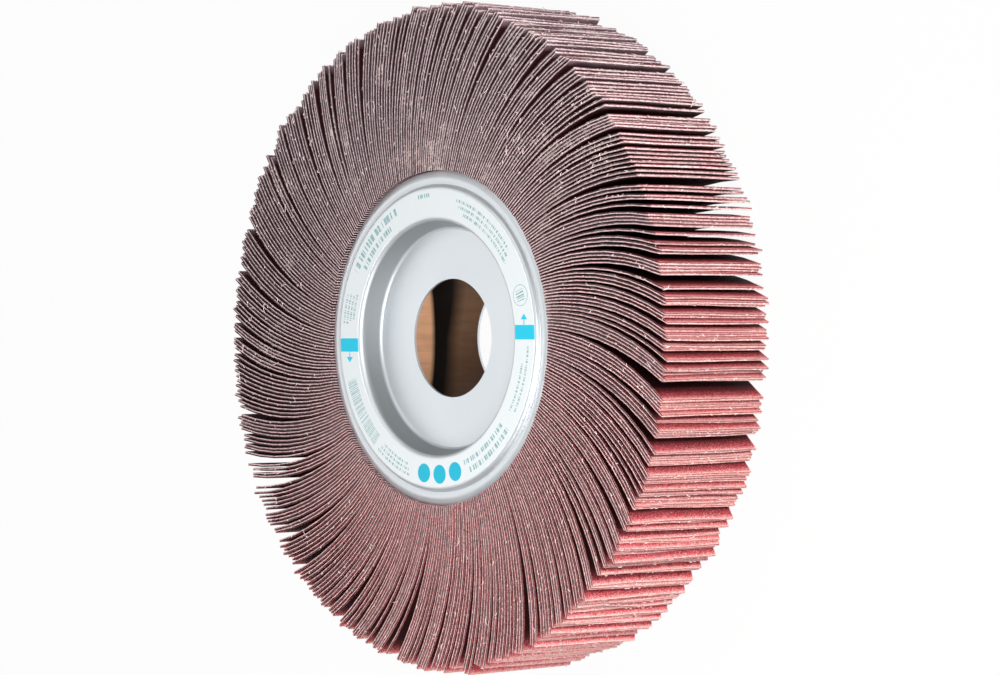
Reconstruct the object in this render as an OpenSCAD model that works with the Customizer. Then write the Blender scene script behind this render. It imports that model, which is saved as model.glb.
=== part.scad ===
// Flap wheel: abrasive cloth flaps bound in a resin core around a paper tube,
// closed on each side by a dished sheet flange.
// The origin is on the axis at mid-width. +Z runs along the axis to the labelled side.

/* [Wheel] */
// Diameter over the longest flap tips
wheel_d = 250; // [220:1:300]
// Width of the flaps, from side face to side face
wheel_w = 50; // [44:1:80]
// Diameter of the hole for the machine's arbor
bore_d = 44; // [30:1:50]

/* [Flaps] */
// Number of flaps around the wheel
flap_count = 360; // [240:10:370]
// Thickness of one flap, cloth and grain together
flap_t = 0.9; // [0.6:0.05:1.05]
// Radius to which each flap is bent as it trails towards its tip
flap_bend_r = 112; // [90:2:300]
// Distance from the axis at which a flap still stands straight out
flap_straight_r = 45; // [35:1:55]
// How much shorter the shortest flap is than the longest
tip_scatter = 3.8; // [0:0.2:8]
// Power of the scatter: the lower it is, the more flaps are worn short
wear_power = 0.35; // [0.2:0.05:1]

/* [Tufts] */
// Fewest flaps that bunch into one tuft
tuft_min = 1; // [1:1:4]
// Most flaps that bunch into one tuft
tuft_max = 5; // [4:1:10]
// Share of the free gap that the loosest tuft closes up at its tip
tuft_close_min = 0.05; // [0:0.05:0.5]
// Share of the free gap that the tightest tuft closes up at its tip
tuft_close_max = 0.88; // [0.5:0.02:0.94]
// How much more common loose tufts are than tight ones
tuft_looseness = 1.6; // [0.5:0.1:4]
// Angle round the wheel where the tufts close tightest
tuft_tight_a = 355; // [0:5:355]
// How far a tuft leans into the room that it leaves beside it
tuft_lean = 0.6; // [0:0.05:0.9]
// Number that picks the bunching pattern
tuft_seed = 11; // [1:1:99]
// How many flaps on each side of a wide gap lean away from it
reach_count = 7; // [5:1:12]

/* [Flange] */
// Thickness of the sheet that the flange is pressed from
sheet_t = 1.0; // [0.6:0.1:1.2]
// Diameter over the flange's outer rim
rim_d = 123.6; // [114:0.2:130]
// Width of the rolled band from the plateau's edge to the rim
rim_band = 5.8; // [5.4:0.1:8]
// Width of the plateau that carries the label
plateau_w = 12.3; // [8:0.1:14]
// How far the wall of the dish runs inwards from its mouth to its foot
dish_wall_run = 2.8; // [2:0.1:6]
// Depth of the dish below the plateau
dish_depth = 8.6; // [4:0.2:12]
// Depth of the crease between the plateau and the rim
crease_depth = 1.6; // [1.2:0.1:2]
// How far the shoulder runs outwards as it drops to the crease
shoulder_run = 0.9; // [0.6:0.1:1.2]
// Height of the rim's crown above the crease
crown_rise = 0.5; // [0.2:0.1:0.8]
// Distance outwards from the crease to the rim's crown
crown_run = 2.0; // [1.6:0.1:2.4]
// Drop from the rim's crown to its outer edge
rim_drop = 1.2; // [0.6:0.1:1.6]
// Inside bend radius at the foot of the dish
foot_bend = 1.2; // [0.5:0.1:2]
// Inside bend radius at the mouth of the dish
mouth_bend = 0.4; // [0.35:0.05:0.6]
// Inside bend radius at the plateau's shoulder
shoulder_bend = 0.5; // [0.35:0.05:0.6]
// Inside bend radius in the crease
crease_bend = 0.4; // [0.2:0.1:0.6]
// Inside bend radius over the rim's crown
crown_bend = 2; // [0.5:0.1:2.4]

/* [Core] */
// Wall of the paper tube
tube_wall = 2.5; // [1.5:0.5:5]
// Film of glue between the core and what is set into it
glue_t = 0.1; // [0.05:0.05:0.3]
// Room around the flange's rim
rim_gap = 0.4; // [0.2:0.1:1]
// Resin that binds the flaps outside the rim's room
bond_wall = 1.1; // [0.6:0.1:2]

/* [Label] */
// Thickness of the paper label
label_t = 0.15; // [0.1:0.05:0.3]
// Bare edge between the mouth of the dish and the label
label_in_margin = 1.1; // [1.1:0.1:3]
// Bare edge between the label and the plateau's shoulder
label_out_margin = 1.0; // [1:0.1:3]

/* [Hidden] */
$fn = 96;
cut_extra = 1;

// The label's face is flush with the side faces of the flaps.
plateau_z = wheel_w / 2 - label_t;
floor_z = plateau_z - dish_depth;
crease_z = plateau_z - crease_depth;
crown_z = crease_z + crown_rise;
edge_z = crown_z - rim_drop;
tube_len = 2 * (floor_z - sheet_t);

bore_r = bore_d / 2;
tube_r = bore_r + tube_wall;
rim_r = rim_d / 2;
plateau_r = rim_r - rim_band;
crease_r = plateau_r + shoulder_run;
crown_r = crease_r + crown_run;
dish_mouth_r = plateau_r - plateau_w;
dish_foot_r = dish_mouth_r - dish_wall_run;
label_in_r = dish_mouth_r + label_in_margin;
label_out_r = plateau_r - label_out_margin;
seat_r = rim_r + rim_gap;
bond_r = seat_r + bond_wall;

// Corners of the flange's outer face, [radius, height], from the bore to the rim,
// with the outer face's bend radius at each. The sheet's thickness adds to the inside
// radius where the face is on the outside of the bend.
face_path = [
    [bore_r, floor_z],
    [dish_foot_r, floor_z],
    [dish_mouth_r, plateau_z],
    [plateau_r, plateau_z],
    [crease_r, crease_z],
    [crown_r, crown_z],
    [rim_r, edge_z]
];
face_bends = [
    0,
    foot_bend,
    mouth_bend + sheet_t,
    shoulder_bend + sheet_t,
    crease_bend,
    crown_bend + sheet_t,
    0
];
bend_steps = 5;

function unit(v) = v / norm(v);
function left_of(v) = [-v[1], v[0]];
function turned(v, a) = [v[0] * cos(a) - v[1] * sin(a), v[0] * sin(a) + v[1] * cos(a)];
function turn_angle(u, v) = atan2(u[0] * v[1] - u[1] * v[0], u * v);

// Points of one rounded corner, moved sideways by shift (left of the path is positive).
function corner_points(before, corner, after, bend, shift) =
    let(
        u = unit(corner - before),
        a = turn_angle(u, unit(after - corner)),
        side = sign(a),
        start = corner - u * bend * tan(abs(a) / 2),
        centre = start + side * bend * left_of(u)
    )
    [for (k = [0 : bend_steps]) centre + (shift - side * bend) * left_of(turned(u, a * k / bend_steps))];

// The whole face, moved sideways by shift.
function face_line(shift) =
    let(
        last = len(face_path) - 1,
        first_side = left_of(unit(face_path[1] - face_path[0])),
        last_side = left_of(unit(face_path[last] - face_path[last - 1]))
    )
    concat(
        [face_path[0] + shift * first_side],
        [for (i = [1 : last - 1])
            each corner_points(face_path[i - 1], face_path[i], face_path[i + 1], face_bends[i], shift)],
        [face_path[last] + shift * last_side]
    );

function reversed(list) = [for (i = [len(list) - 1 : -1 : 0]) list[i]];

// A flap bends along an arc that leaves the core straight out. At the distance r from
// the axis it has turned by flap_turn, trails by flap_trail round the wheel, and leans
// against the radius by the difference of the two.
function flap_turn(r) =
    let(
        a = flap_straight_r * flap_bend_r,
        b = flap_bend_r * flap_bend_r,
        c = (r * r - flap_straight_r * flap_straight_r) / 2 - b
    )
    atan2(b, a) + asin(c / norm([a, b]));
function flap_trail(r) =
    let(a = flap_turn(r))
    atan2(flap_bend_r * (1 - cos(a)), flap_straight_r + flap_bend_r * sin(a));
function flap_lean(r) = flap_turn(r) - flap_trail(r);

// Angles at the axis, for the distance r: the pitch, a flap's own share and the free gap.
pitch_a = 360 / flap_count;
function flap_a(r) = flap_t / cos(flap_lean(r)) / r * 180 / PI;
function free_a(r) = pitch_a - flap_a(r);

// Distances from the axis at which a flap's outline has points.
tip_r = wheel_d / 2;
inner_r = bond_r + (tip_r - bond_r) / 3;
outer_r = bond_r + (tip_r - bond_r) * 2 / 3;

// A number from 0 to 1 that is always the same for the same item and salt.
function draw(item, salt) =
    let(value = abs(sin(item * 127.1 + salt * 311.7)) * 43758.5453)
    value - floor(value);

// The tufts: how many flaps each may hold, where it starts, how many it holds, where its
// tips stand, how tightly it closes and which way it leans.
function tuft_room(k) = tuft_min + floor(draw(k, tuft_seed) * (tuft_max - tuft_min + 1));
tuft_start = [for (k = 0, s = 0; s < flap_count; s = s + tuft_room(k), k = k + 1) s];
function tuft_size(k) = min(tuft_room(k), flap_count - tuft_start[k]);
function tuft_a(k) = (tuft_start[k] + tuft_size(k) / 2) * pitch_a - flap_trail(tip_r);
// Where the power is high most tufts are loose, and where it is low most are tight.
function tuft_power(k) = tuft_looseness * exp(-cos(tuft_a(k) - tuft_tight_a));
function tuft_close(k) =
    tuft_close_min + (tuft_close_max - tuft_close_min) * pow(draw(k, tuft_seed + 1), tuft_power(k));
function tuft_side(k) = (2 * draw(k, tuft_seed + 2) - 1) * tuft_lean;
// Most flaps are worn short and a few stand out.
function tip_short(i) = tip_scatter * pow(draw(i, tuft_seed + 3), wear_power);

// Gaps where the flaps stand widest apart: the angle at the tips, and the opening in
// free gaps.
wide_gaps = [
    [8.5, 3.5], [15.5, 1.5], [22, 1.5], [26, 2], [42, 1.5], [58, 2], [70, 2.5], [99, 1.5],
    [110, 2.5], [121, 2], [131, 2], [143, 1.5], [158, 3], [166, 2.5], [182, 1.5], [203, 3.5],
    [207, 3.5], [219, 3], [226, 2], [241, 3], [257, 5.5], [276, 2.5], [294, 3], [315, 3.5],
    [333, 2], [342, 3]
];
// How far one wide gap pushes a flap, and how much it closes the flap's own gaps.
function flaps_away(i, gap) =
    let(turn = (i * pitch_a - flap_trail(tip_r) - gap[0]) / 360)
    (turn - floor(turn + 0.5)) * flap_count;
function fade(i, gap) = exp(-abs(flaps_away(i, gap)) / reach_count) * gap[1] / 2;
function wide_push(i) = total([for (gap = wide_gaps) sign(flaps_away(i, gap)) * fade(i, gap)]);
function wide_close(i) = total([for (gap = wide_gaps) fade(i, gap)]) / reach_count;
function total(list) = list * [for (item = list) 1];

// How far a flap moves round the wheel at its tip, in free gaps: it closes up to the
// middle of its tuft, the tuft leans within its own room, and wide gaps push it aside.
flap_shift = [
    for (k = [0 : len(tuft_start) - 1])
        let(
            half = (tuft_size(k) - 1) / 2,
            first = tuft_start[k],
            crowd = max([for (j = [0 : 2 * half]) wide_close(first + j)]),
            close = max(0, min(tuft_close(k), tuft_close_max - crowd))
        )
        for (j = [0 : tuft_size(k) - 1])
            close * (tuft_side(k) * half - (j - half)) + wide_push(first + j)
];

function polar(r, a) = [r * cos(a), r * sin(a)];
// A point on one side of a flap: side is -1 or 1, and share is how much of the bunching
// is reached at the distance r.
function side_point(i, r, side, share) =
    polar(r, i * pitch_a - flap_trail(r) + share * flap_shift[i] * free_a(r) + side * flap_a(r) / 2);
function tip_point(i, side) =
    let(
        from = side_point(i, outer_r, side, 2 / 3),
        to = side_point(i, tip_r, side, 1)
    )
    from + (to - from) * (1 - tip_short(i) / (tip_r - outer_r));
function flap_outline(i) = [
    polar(bond_r, (i - 0.5) * pitch_a - flap_trail(bond_r)),
    side_point(i, inner_r, -1, 1 / 3),
    side_point(i, outer_r, -1, 2 / 3),
    tip_point(i, -1),
    tip_point(i, 1),
    side_point(i, outer_r, 1, 2 / 3),
    side_point(i, inner_r, 1, 1 / 3)
];

// The flaps and the cast resin that binds their inner ends.
module flap_pack() {
    color([0.60, 0.40, 0.39])
    difference() {
        linear_extrude(height = wheel_w, center = true)
            polygon([for (i = [0 : flap_count - 1]) each flap_outline(i)]);
        flange_seat();
        mirror([0, 0, 1]) flange_seat();
        cylinder(h = wheel_w, r = tube_r + glue_t, center = true);
    }
}

// The room that one flange takes in the core, with the film of glue behind it.
module flange_seat() {
    top_z = wheel_w / 2 + cut_extra;
    back = face_line(-sheet_t - glue_t);
    floor_of_rim = back[len(back) - 1];
    rotate_extrude()
        polygon(concat(back, [[seat_r, floor_of_rim[1]], [seat_r, top_z], [bore_r, top_z]]));
}

// The laminated paper tube that lines the bore, from flange to flange.
module core_tube() {
    color([0.52, 0.32, 0.17])
    difference() {
        cylinder(h = tube_len, r = tube_r, center = true);
        cylinder(h = tube_len + 2 * cut_extra, r = bore_r, center = true);
    }
}

// A dished flange pressed from sheet, as it lies on the +Z side.
module pressed_flange() {
    rotate_extrude()
        polygon(concat(face_line(0), reversed(face_line(-sheet_t))));
}

module front_flange() {
    color([0.80, 0.81, 0.81])
    pressed_flange();
}

module rear_flange() {
    color([0.80, 0.81, 0.81])
    mirror([0, 0, 1])
    pressed_flange();
}

// The paper ring on the front flange's plateau.
module label_ring() {
    color([0.95, 0.96, 0.97])
    translate([0, 0, plateau_z])
    difference() {
        cylinder(h = label_t, r = label_out_r);
        translate([0, 0, -cut_extra])
            cylinder(h = label_t + 2 * cut_extra, r = label_in_r);
    }
}

flap_pack();
core_tube();
front_flange();
rear_flange();
label_ring();
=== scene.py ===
"""The looks of a flap wheel: abrasive flaps, pressed flanges, paper tube and label."""

import math

import bpy
import numpy as np
from bpy.props import FloatProperty, FloatVectorProperty, IntProperty, PointerProperty
from mathutils import Matrix, Vector


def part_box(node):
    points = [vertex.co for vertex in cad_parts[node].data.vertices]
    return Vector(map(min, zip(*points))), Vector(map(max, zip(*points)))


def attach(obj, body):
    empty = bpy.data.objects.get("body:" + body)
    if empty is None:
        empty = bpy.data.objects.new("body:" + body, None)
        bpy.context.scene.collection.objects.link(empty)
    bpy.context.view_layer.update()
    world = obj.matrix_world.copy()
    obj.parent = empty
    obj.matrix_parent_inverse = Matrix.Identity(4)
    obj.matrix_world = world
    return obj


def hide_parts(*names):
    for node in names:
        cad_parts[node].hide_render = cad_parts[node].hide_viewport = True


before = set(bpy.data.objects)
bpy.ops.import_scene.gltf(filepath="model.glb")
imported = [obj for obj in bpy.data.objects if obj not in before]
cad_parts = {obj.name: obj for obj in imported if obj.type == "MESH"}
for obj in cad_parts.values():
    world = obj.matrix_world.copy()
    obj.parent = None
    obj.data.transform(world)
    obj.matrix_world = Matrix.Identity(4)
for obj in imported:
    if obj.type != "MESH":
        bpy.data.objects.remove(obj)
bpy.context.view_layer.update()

bl_info = {
    "name": "Flap Wheel",
    "version": (1, 0, 0),
    "blender": (4, 5, 0),
    "location": "View3D > Sidebar > Flap Wheel",
    "description": "Builds the flaps, core, flange finishes, label and stage of a flap wheel",
    "category": "Add Mesh",
}

MM = 0.001
PACK_LOW, PACK_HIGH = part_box("flap_pack")
RIM_LOW, RIM_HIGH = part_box("front_flange")
TUBE_LOW, TUBE_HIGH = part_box("core_tube")
LABEL_LOW, LABEL_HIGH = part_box("label_ring")
SHEET_THICKNESS = 1.0 * MM
DISH_FLOOR = TUBE_HIGH.z + SHEET_THICKNESS

# The photograph's camera, in millimetres and degrees. The picture is 1000 wide.
CAMERA_PLACE = Vector((1002.1, 1.9, 878.3)) * MM
CAMERA_RIGHT = Vector((0.6622, -0.0015, -0.7493))
CAMERA_UP = Vector((0.0, 1.0, -0.0020))
PICTURE_WIDTH = 1000
FOCAL_PIXELS = 3565.65
SENSOR_WIDTH = 36.0

# The stage. Each lamp has a direction from the wheel, a distance and a size in metres,
# and a power in watts.
LAMPS = (
    ("lamp_front", (0.41, -0.25, 0.49), 0.69, 0.40, 3.7),
    ("lamp_above", (-0.05, 0.62, 0.78), 2.6, 0.9, 9),
    ("lamp_side", (0.77, 0.0, 0.64), 2.4, 0.5, 5),
    ("lamp_low", (0.94, 0.34, 0.025), 2.4, 0.10, 40),
    ("lamp_panel", (-0.75, 0.0, 0.66), 2.2, 1.8, 9),
)
ROOM_STRENGTH = 0.20
FLOOR_SIZE, FLOOR_CUTS = 12, 3
FLOOR_GAP = 0.05 * MM
FLOOR_COLOUR = (0.80, 0.80, 0.80)
FLOOR_GLOW = 0.95

# The bunching of the flaps is that of the solid. Here are the gaps where they stand
# widest apart: the angle round the wheel at the tips, in degrees, and the opening in
# free gaps.
WIDE_GAPS = (
    (8.5, 3.5), (15.5, 1.5), (22, 1.5), (26, 2), (42, 1.5), (58, 2), (70, 2.5), (99, 1.5),
    (110, 2.5), (121, 2), (131, 2), (143, 1.5), (158, 3), (166, 2.5), (182, 1.5), (203, 3.5),
    (207, 3.5), (219, 3), (226, 2), (241, 3), (257, 5.5), (276, 2.5), (294, 3), (315, 3.5),
    (333, 2), (342, 3),
)
WIDE_REACH = 7
TUFT_SMALLEST, TUFT_LARGEST = 1, 5
TUFT_LOOSEST, TUFT_TIGHTEST = 0.05, 0.88
TUFT_LOOSENESS = 1.6
TUFT_TIGHT_ANGLE = 355
TUFT_LEAN = 0.6
WEAR_POWER = 0.35
PATTERN = 11


class WheelSizes(bpy.types.PropertyGroup):
    """Sizes of the flaps and of the core that binds them."""

    count: IntProperty(name="Flaps", description="Number of flaps round the wheel", default=360, min=100)
    thickness: FloatProperty(
        name="Flap thickness", description="Cloth and grain together", default=0.9 * MM, unit="LENGTH")
    tip_radius: FloatProperty(
        name="Tip radius", description="Distance from the axis to the longest flap's tip",
        default=125 * MM, unit="LENGTH")
    bend_radius: FloatProperty(
        name="Bend radius", description="Radius to which a flap is bent", default=112 * MM, unit="LENGTH")
    straight_radius: FloatProperty(
        name="Straight radius", description="Distance from the axis at which a flap stands straight out",
        default=45 * MM, unit="LENGTH")
    root_radius: FloatProperty(
        name="Root radius", description="Distance from the axis to a flap's inner end",
        default=RIM_HIGH.x + 0.15 * MM, unit="LENGTH")
    tip_scatter: FloatProperty(
        name="Tip scatter", description="How much shorter the shortest flap is than the longest",
        default=3.8 * MM, unit="LENGTH")
    side_scatter: FloatProperty(
        name="Side scatter", description="How far the flaps' side edges stand back from the widest",
        default=0.35 * MM, unit="LENGTH")


class WheelColours(bpy.types.PropertyGroup):
    """Colours of the finishes, as linear red, green and blue."""

    grain: FloatVectorProperty(
        name="Grain", description="The abrasive side of a flap", subtype="COLOR",
        default=(0.66, 0.085, 0.105))
    cloth: FloatVectorProperty(
        name="Cloth", description="The back of a flap", subtype="COLOR", default=(0.21, 0.15, 0.165))
    cut: FloatVectorProperty(
        name="Cut edge", description="Cut yarn ends along a flap's edge", subtype="COLOR",
        default=(0.94, 0.74, 0.77))
    resin: FloatVectorProperty(
        name="Resin", description="The cast core", subtype="COLOR", default=(0.05, 0.024, 0.02))
    paper_tube: FloatVectorProperty(
        name="Paper tube", description="The tube in the bore", subtype="COLOR", default=(0.82, 0.45, 0.26))
    sheet: FloatVectorProperty(
        name="Flange sheet", description="The pressed flanges", subtype="COLOR", default=(0.83, 0.87, 0.90))
    label: FloatVectorProperty(
        name="Label", description="The label's paper", subtype="COLOR", default=(0.84, 0.885, 0.90))
    ink: FloatVectorProperty(
        name="Ink", description="The label's strong ink", subtype="COLOR", default=(0.012, 0.60, 0.83))
    fine_ink: FloatVectorProperty(
        name="Fine ink", description="The ink of the label's small lines", subtype="COLOR",
        default=(0.13, 0.38, 0.40))


def sizes():
    return bpy.context.scene.flap_wheel_sizes


def colours():
    return bpy.context.scene.flap_wheel_colours


# The way that the flaps bend and bunch.

def draw(number, salt):
    """A number from 0 to 1 that is always the same for the same flap and salt."""
    value = abs(math.sin(math.radians(number * 127.1 + salt * 311.7))) * 43758.5453
    return value - math.floor(value)


def flap_turn(radius):
    """How far a flap's arc has turned at this distance from the axis."""
    straight, bend = sizes().straight_radius, sizes().bend_radius
    a = straight * bend
    b = bend * bend
    c = (radius * radius - straight * straight) / 2 - b
    return math.atan2(b, a) + math.asin(c / math.hypot(a, b))


def flap_trail(radius):
    """The angle at the axis by which a flap trails at this distance."""
    turn = flap_turn(radius)
    straight, bend = sizes().straight_radius, sizes().bend_radius
    return math.atan2(bend * (1 - math.cos(turn)), straight + bend * math.sin(turn))


def free_angle(radius):
    """The angle at the axis between two neighbours at this distance."""
    lean = flap_turn(radius) - flap_trail(radius)
    return 2 * math.pi / sizes().count - sizes().thickness / math.cos(lean) / radius


def each(rule, radii):
    return np.array([rule(radius) for radius in radii])


def flaps_away(number, place):
    """How many flaps lie between a flap's tip and a place round the wheel in degrees."""
    turn = number / sizes().count - (flap_trail(sizes().tip_radius) + math.radians(place)) / (2 * math.pi)
    return (turn - math.floor(turn + 0.5)) * sizes().count


def wide_push(number):
    """How far the wide gaps push a flap's tip aside, and how much they close its own gaps."""
    push = crowd = 0.0
    for place, opening in WIDE_GAPS:
        away = flaps_away(number, place)
        fade = math.exp(-abs(away) / WIDE_REACH) * opening / 2
        push += math.copysign(fade, away)
        crowd += fade / WIDE_REACH
    return push, crowd


def tuft_plan():
    """Each flap's shift round the wheel at its tip, in free gaps."""
    count = sizes().count
    shift = np.zeros(count)
    pushes = [wide_push(number) for number in range(count)]
    start = tuft = 0
    while start < count:
        room = TUFT_SMALLEST + math.floor(draw(tuft, PATTERN) * (TUFT_LARGEST - TUFT_SMALLEST + 1))
        numbers = range(start, min(start + room, count))
        middle = 2 * math.pi * (start + len(numbers) / 2) / count - flap_trail(sizes().tip_radius)
        power = TUFT_LOOSENESS * math.exp(-math.cos(middle - math.radians(TUFT_TIGHT_ANGLE)))
        close = TUFT_LOOSEST + (TUFT_TIGHTEST - TUFT_LOOSEST) * draw(tuft, PATTERN + 1) ** power
        close = max(0, min(close, TUFT_TIGHTEST - max(pushes[number][1] for number in numbers)))
        lean = (2 * draw(tuft, PATTERN + 2) - 1) * TUFT_LEAN
        half = (len(numbers) - 1) / 2
        for number in numbers:
            shift[number] = close * (lean * half - (number - start - half)) + pushes[number][0]
        start += room
        tuft += 1
    return shift


def flap_wear(number):
    """How much shorter a flap is than the longest could be."""
    return sizes().tip_scatter * draw(number, PATTERN + 3) ** WEAR_POWER


# Small helpers for modelling.

def deselect():
    if bpy.context.mode != "OBJECT":
        bpy.ops.object.mode_set(mode="OBJECT")
    bpy.ops.object.select_all(action="DESELECT")


def make_active(piece):
    deselect()
    piece.select_set(True)
    bpy.context.view_layer.objects.active = piece


def select_vertices(piece, test):
    """Selects the vertices whose place passes the test, and leaves the piece in edit mode."""
    if bpy.context.mode != "OBJECT":
        bpy.ops.object.mode_set(mode="OBJECT")
    bpy.ops.object.mode_set(mode="EDIT")
    bpy.ops.mesh.select_mode(type="VERT")
    bpy.ops.mesh.select_all(action="DESELECT")
    bpy.ops.object.mode_set(mode="OBJECT")
    for vertex in piece.data.vertices:
        vertex.select = test(vertex.co)
    bpy.ops.object.mode_set(mode="EDIT")


def apply_modifier(piece, modifier):
    make_active(piece)
    bpy.ops.object.modifier_apply(modifier=modifier.name)


def coordinates(mesh):
    places = np.empty(len(mesh.vertices) * 3)
    mesh.vertices.foreach_get("co", places)
    return places.reshape(-1, 3)


def set_coordinates(mesh, places):
    mesh.vertices.foreach_set("co", places.ravel())
    mesh.update()


def set_materials(piece, *materials):
    piece.data.materials.clear()
    for material in materials:
        piece.data.materials.append(material)


def join(pieces, name):
    deselect()
    for piece in pieces:
        piece.select_set(True)
    bpy.context.view_layer.objects.active = pieces[0]
    bpy.ops.object.join()
    joined = bpy.context.view_layer.objects.active
    joined.name = name
    joined.data.name = name
    return joined


# Small helpers for node materials.

class Nodes:
    """Adds nodes to one material and links them."""

    def __init__(self, name):
        self.material = bpy.data.materials.new(name)
        self.material.use_nodes = True
        self.tree = self.material.node_tree
        self.shader = self.tree.nodes["Principled BSDF"]

    def add(self, kind, **settings):
        node = self.tree.nodes.new(kind)
        for key, value in settings.items():
            setattr(node, key, value)
        return node

    def feed(self, socket, value):
        if isinstance(value, bpy.types.NodeSocket):
            self.tree.links.new(value, socket)
        elif isinstance(value, (int, float)) or len(value) == len(socket.default_value):
            socket.default_value = value
        else:
            socket.default_value = (*value, 1)

    def object_place(self):
        return self.add("ShaderNodeTexCoord").outputs["Object"]

    def attribute(self, name):
        return self.add("ShaderNodeAttribute", attribute_name=name).outputs["Fac"]

    def parts(self, place):
        node = self.add("ShaderNodeSeparateXYZ")
        self.feed(node.inputs[0], place)
        return node.outputs[:]

    def flap_place(self):
        """A point's place on the unrolled flap: across its width and along its arc."""
        return self.parts(self.add("ShaderNodeUVMap", uv_map="Weave").outputs[0])[:2]

    def noise(self, place, scale, detail=2.0, roughness=0.5):
        node = self.add("ShaderNodeTexNoise")
        self.feed(node.inputs["Vector"], place)
        node.inputs["Scale"].default_value = scale
        node.inputs["Detail"].default_value = detail
        node.inputs["Roughness"].default_value = roughness
        return node.outputs["Fac"]

    def cells(self, place, scale, output="Distance"):
        node = self.add("ShaderNodeTexVoronoi")
        self.feed(node.inputs["Vector"], place)
        node.inputs["Scale"].default_value = scale
        return node.outputs[output]

    def math(self, operation, *values):
        node = self.add("ShaderNodeMath", operation=operation)
        for socket, value in zip(node.inputs, values):
            self.feed(socket, value)
        return node.outputs[0]

    def hypot(self, first, second):
        squares = self.math("MULTIPLY", first, first), self.math("MULTIPLY", second, second)
        return self.math("SQRT", self.math("ADD", *squares))

    def remap(self, value, low, high, to_low=0.0, to_high=1.0):
        node = self.add("ShaderNodeMapRange")
        for socket, setting in zip(node.inputs, (value, low, high, to_low, to_high)):
            self.feed(socket, setting)
        return node.outputs[0]

    def blend(self, factor, first, second):
        node = self.add("ShaderNodeMix", data_type="RGBA")
        self.feed(node.inputs["Factor"], factor)
        self.feed(node.inputs["A"], first)
        self.feed(node.inputs["B"], second)
        return node.outputs["Result"]

    def stretch(self, place, scale):
        node = self.add("ShaderNodeMapping")
        self.feed(node.inputs["Vector"], place)
        node.inputs["Scale"].default_value = scale
        return node.outputs[0]

    def bump(self, height, distance, strength=1.0):
        node = self.add("ShaderNodeBump")
        node.inputs["Strength"].default_value = strength
        node.inputs["Distance"].default_value = distance
        self.feed(node.inputs["Height"], height)
        return node.outputs["Normal"]

    def finish(self, colour, roughness, normal=None, shine=0.5):
        self.feed(self.shader.inputs["Base Color"], colour)
        self.feed(self.shader.inputs["Specular IOR Level"], shine)
        self.feed(self.shader.inputs["Roughness"], roughness)
        if normal is not None:
            self.feed(self.shader.inputs["Normal"], normal)
        return self.material


def darker(colour, share):
    return tuple(channel * share for channel in colour)


# Finishes.

# Scales of noise and cells: the higher, the finer.
GRAIN_CELLS, GRIT_CELLS, KNOT_CELLS = 2100, 2400, 1300
FLECK_NOISE, STRAND_NOISE, FRAY_NOISE, FUZZ_NOISE = 1900, 1700, 1500, 900
STAIN_NOISE, DUST_NOISE = 130, 55
# Shades that wear and dust give to the grain and to the yarn, and the redder yarn, tip and strand shades
# that the painted warm light blends in.
FLECK, WORN_GRAIN, FRAYED_GRAIN = (0.85, 0.42, 0.40), (0.88, 0.44, 0.42), (0.84, 0.52, 0.48)
WARM_LIT_YARN, WARM_LIT_TIP, PALE_DUST = (1.0, 0.57, 0.57), (0.88, 0.42, 0.36), (0.95, 0.78, 0.72)
PLAIN_STRAND, WARM_LIT_STRAND, CLEAN_THREAD = (1.0, 0.84, 0.84), (1.0, 0.68, 0.64), (0.95, 0.80, 0.74)
# Painted warm light, for red light bounced between the flaps: it starts high on one side, and is full lower
# down on the other.
WARM_LIGHT_SLANT, WARM_LIGHT_START, WARM_LIGHT_FULL = 0.35, -90 * MM, 60 * MM
YARN_PITCH = 0.55 * MM


def edge_distances(nodes):
    """How far a point of a flap lies from its side edges and from its tip."""
    across, along = nodes.flap_place()
    from_side = nodes.math("SUBTRACT", PACK_HIGH.z, nodes.math("ABSOLUTE", across))
    return from_side, nodes.math("SUBTRACT", tip_arc(), along)


def edge_fray(nodes, place, at_side, at_tip):
    """Where frayed yarn ends lie over a flap's face, next to its cut edges."""
    from_side, from_tip = edge_distances(nodes)
    fuzz = nodes.noise(place, FRAY_NOISE, detail=2, roughness=0.6)
    nearest = nodes.math(
        "MINIMUM", nodes.math("DIVIDE", from_side, at_side), nodes.math("DIVIDE", from_tip, at_tip))
    return nodes.math("LESS_THAN", nearest, nodes.remap(fuzz, 0.35, 0.68, -0.2, 1.0))


def buried(nodes, side_weight):
    """How deep a point of a flap lies: the way in from its tip, or a weighted one from its side."""
    from_side, from_tip = edge_distances(nodes)
    return nodes.math("MINIMUM", nodes.math("MULTIPLY", from_side, side_weight), from_tip)


def painted_warm_light(nodes, place):
    """How much painted warm light, for red light bounced between the flaps, falls on the yarn: more on the
    wheel's lower half.
    """
    across, up = nodes.parts(place)[:2]
    down = nodes.math("SUBTRACT", nodes.math("MULTIPLY", across, WARM_LIGHT_SLANT), up)
    return nodes.remap(down, WARM_LIGHT_START, WARM_LIGHT_FULL)


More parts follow.
